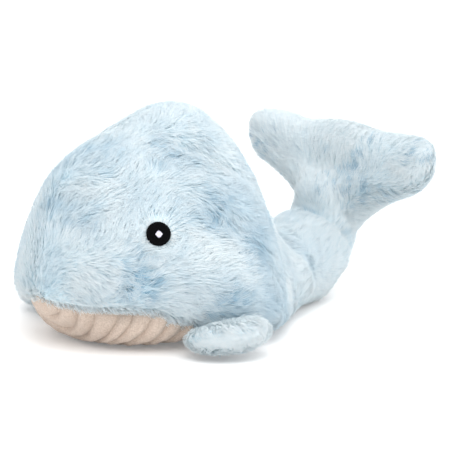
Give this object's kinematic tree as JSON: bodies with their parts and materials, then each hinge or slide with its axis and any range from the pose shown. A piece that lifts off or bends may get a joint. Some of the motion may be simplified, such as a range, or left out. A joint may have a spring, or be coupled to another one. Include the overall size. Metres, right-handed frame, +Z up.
{
  "type": "plush whale",
  "caption": "Stuffed toy whale with a rounded fur body, a pleated corduroy belly, embroidered eyes, side flippers and an upturned tail with a broad fluke.",
  "frame": {"origin": "on the surface that the toy stands on, on the crest of the pleat under the middle of the belly", "axes": "+Z up, -X towards the nose, -Y towards the toy's left side"},
  "size_m": [0.3236, 0.2492, 0.1669],
  "materials": {
    "fur_blue": "long soft pile, pale blue with whiter tips",
    "corduroy_beige": "brushed ribbed cloth, pleated",
    "stuffing_white": "matte fibre filling",
    "eye_black": "satin-stitch embroidery",
    "eye_white": "satin-stitch embroidery"
  },
  "bodies": {
    "body": {"body_side_left": "fur_blue", "body_side_right": "fur_blue", "belly_panel": "corduroy_beige", "body_stuffing": "stuffing_white", "eye_left_disc": "eye_black", "eye_left_highlight": "eye_white", "eye_right_disc": "eye_black", "eye_right_highlight": "eye_white"},
    "tail": {"tail_side_left": "fur_blue", "tail_side_right": "fur_blue", "tail_stuffing": "stuffing_white"},
    "fluke": {"fluke_upper_panel": "fur_blue", "fluke_lower_panel": "fur_blue", "fluke_stuffing": "stuffing_white"},
    "fin_left": {"fin_left_upper_panel": "fur_blue", "fin_left_lower_panel": "fur_blue", "fin_left_stuffing": "stuffing_white"},
    "fin_right": {"fin_right_upper_panel": "fur_blue", "fin_right_lower_panel": "fur_blue", "fin_right_stuffing": "stuffing_white"}
  },
  "joints": [
    {"name": "tail_bend", "type": "hinge", "parent": "body", "child": "tail", "pos_m": [0.111, 0, 0.034], "axis": [0, -1, 0], "range_deg": [-20, 25], "stiffness_Nm_per_rad": 1},
    {"name": "fluke_bend", "type": "hinge", "parent": "tail", "child": "fluke", "pos_m": [0.16175, 0, 0.04591], "axis": [0, -1, 0], "range_deg": [-30, 30], "stiffness_Nm_per_rad": 0.6},
    {"name": "fin_left_flap", "type": "hinge", "parent": "body", "child": "fin_left", "pos_m": [-0.01, -0.0873, 0.018], "axis": [-0.9213, 0.3631, -0.1392], "range_deg": [-30, 20], "stiffness_Nm_per_rad": 0.05},
    {"name": "fin_right_flap", "type": "hinge", "parent": "body", "child": "fin_right", "pos_m": [-0.01, 0.0873, 0.018], "axis": [0.9213, 0.3631, 0.1392], "range_deg": [-30, 20], "stiffness_Nm_per_rad": 0.05}
  ]
}
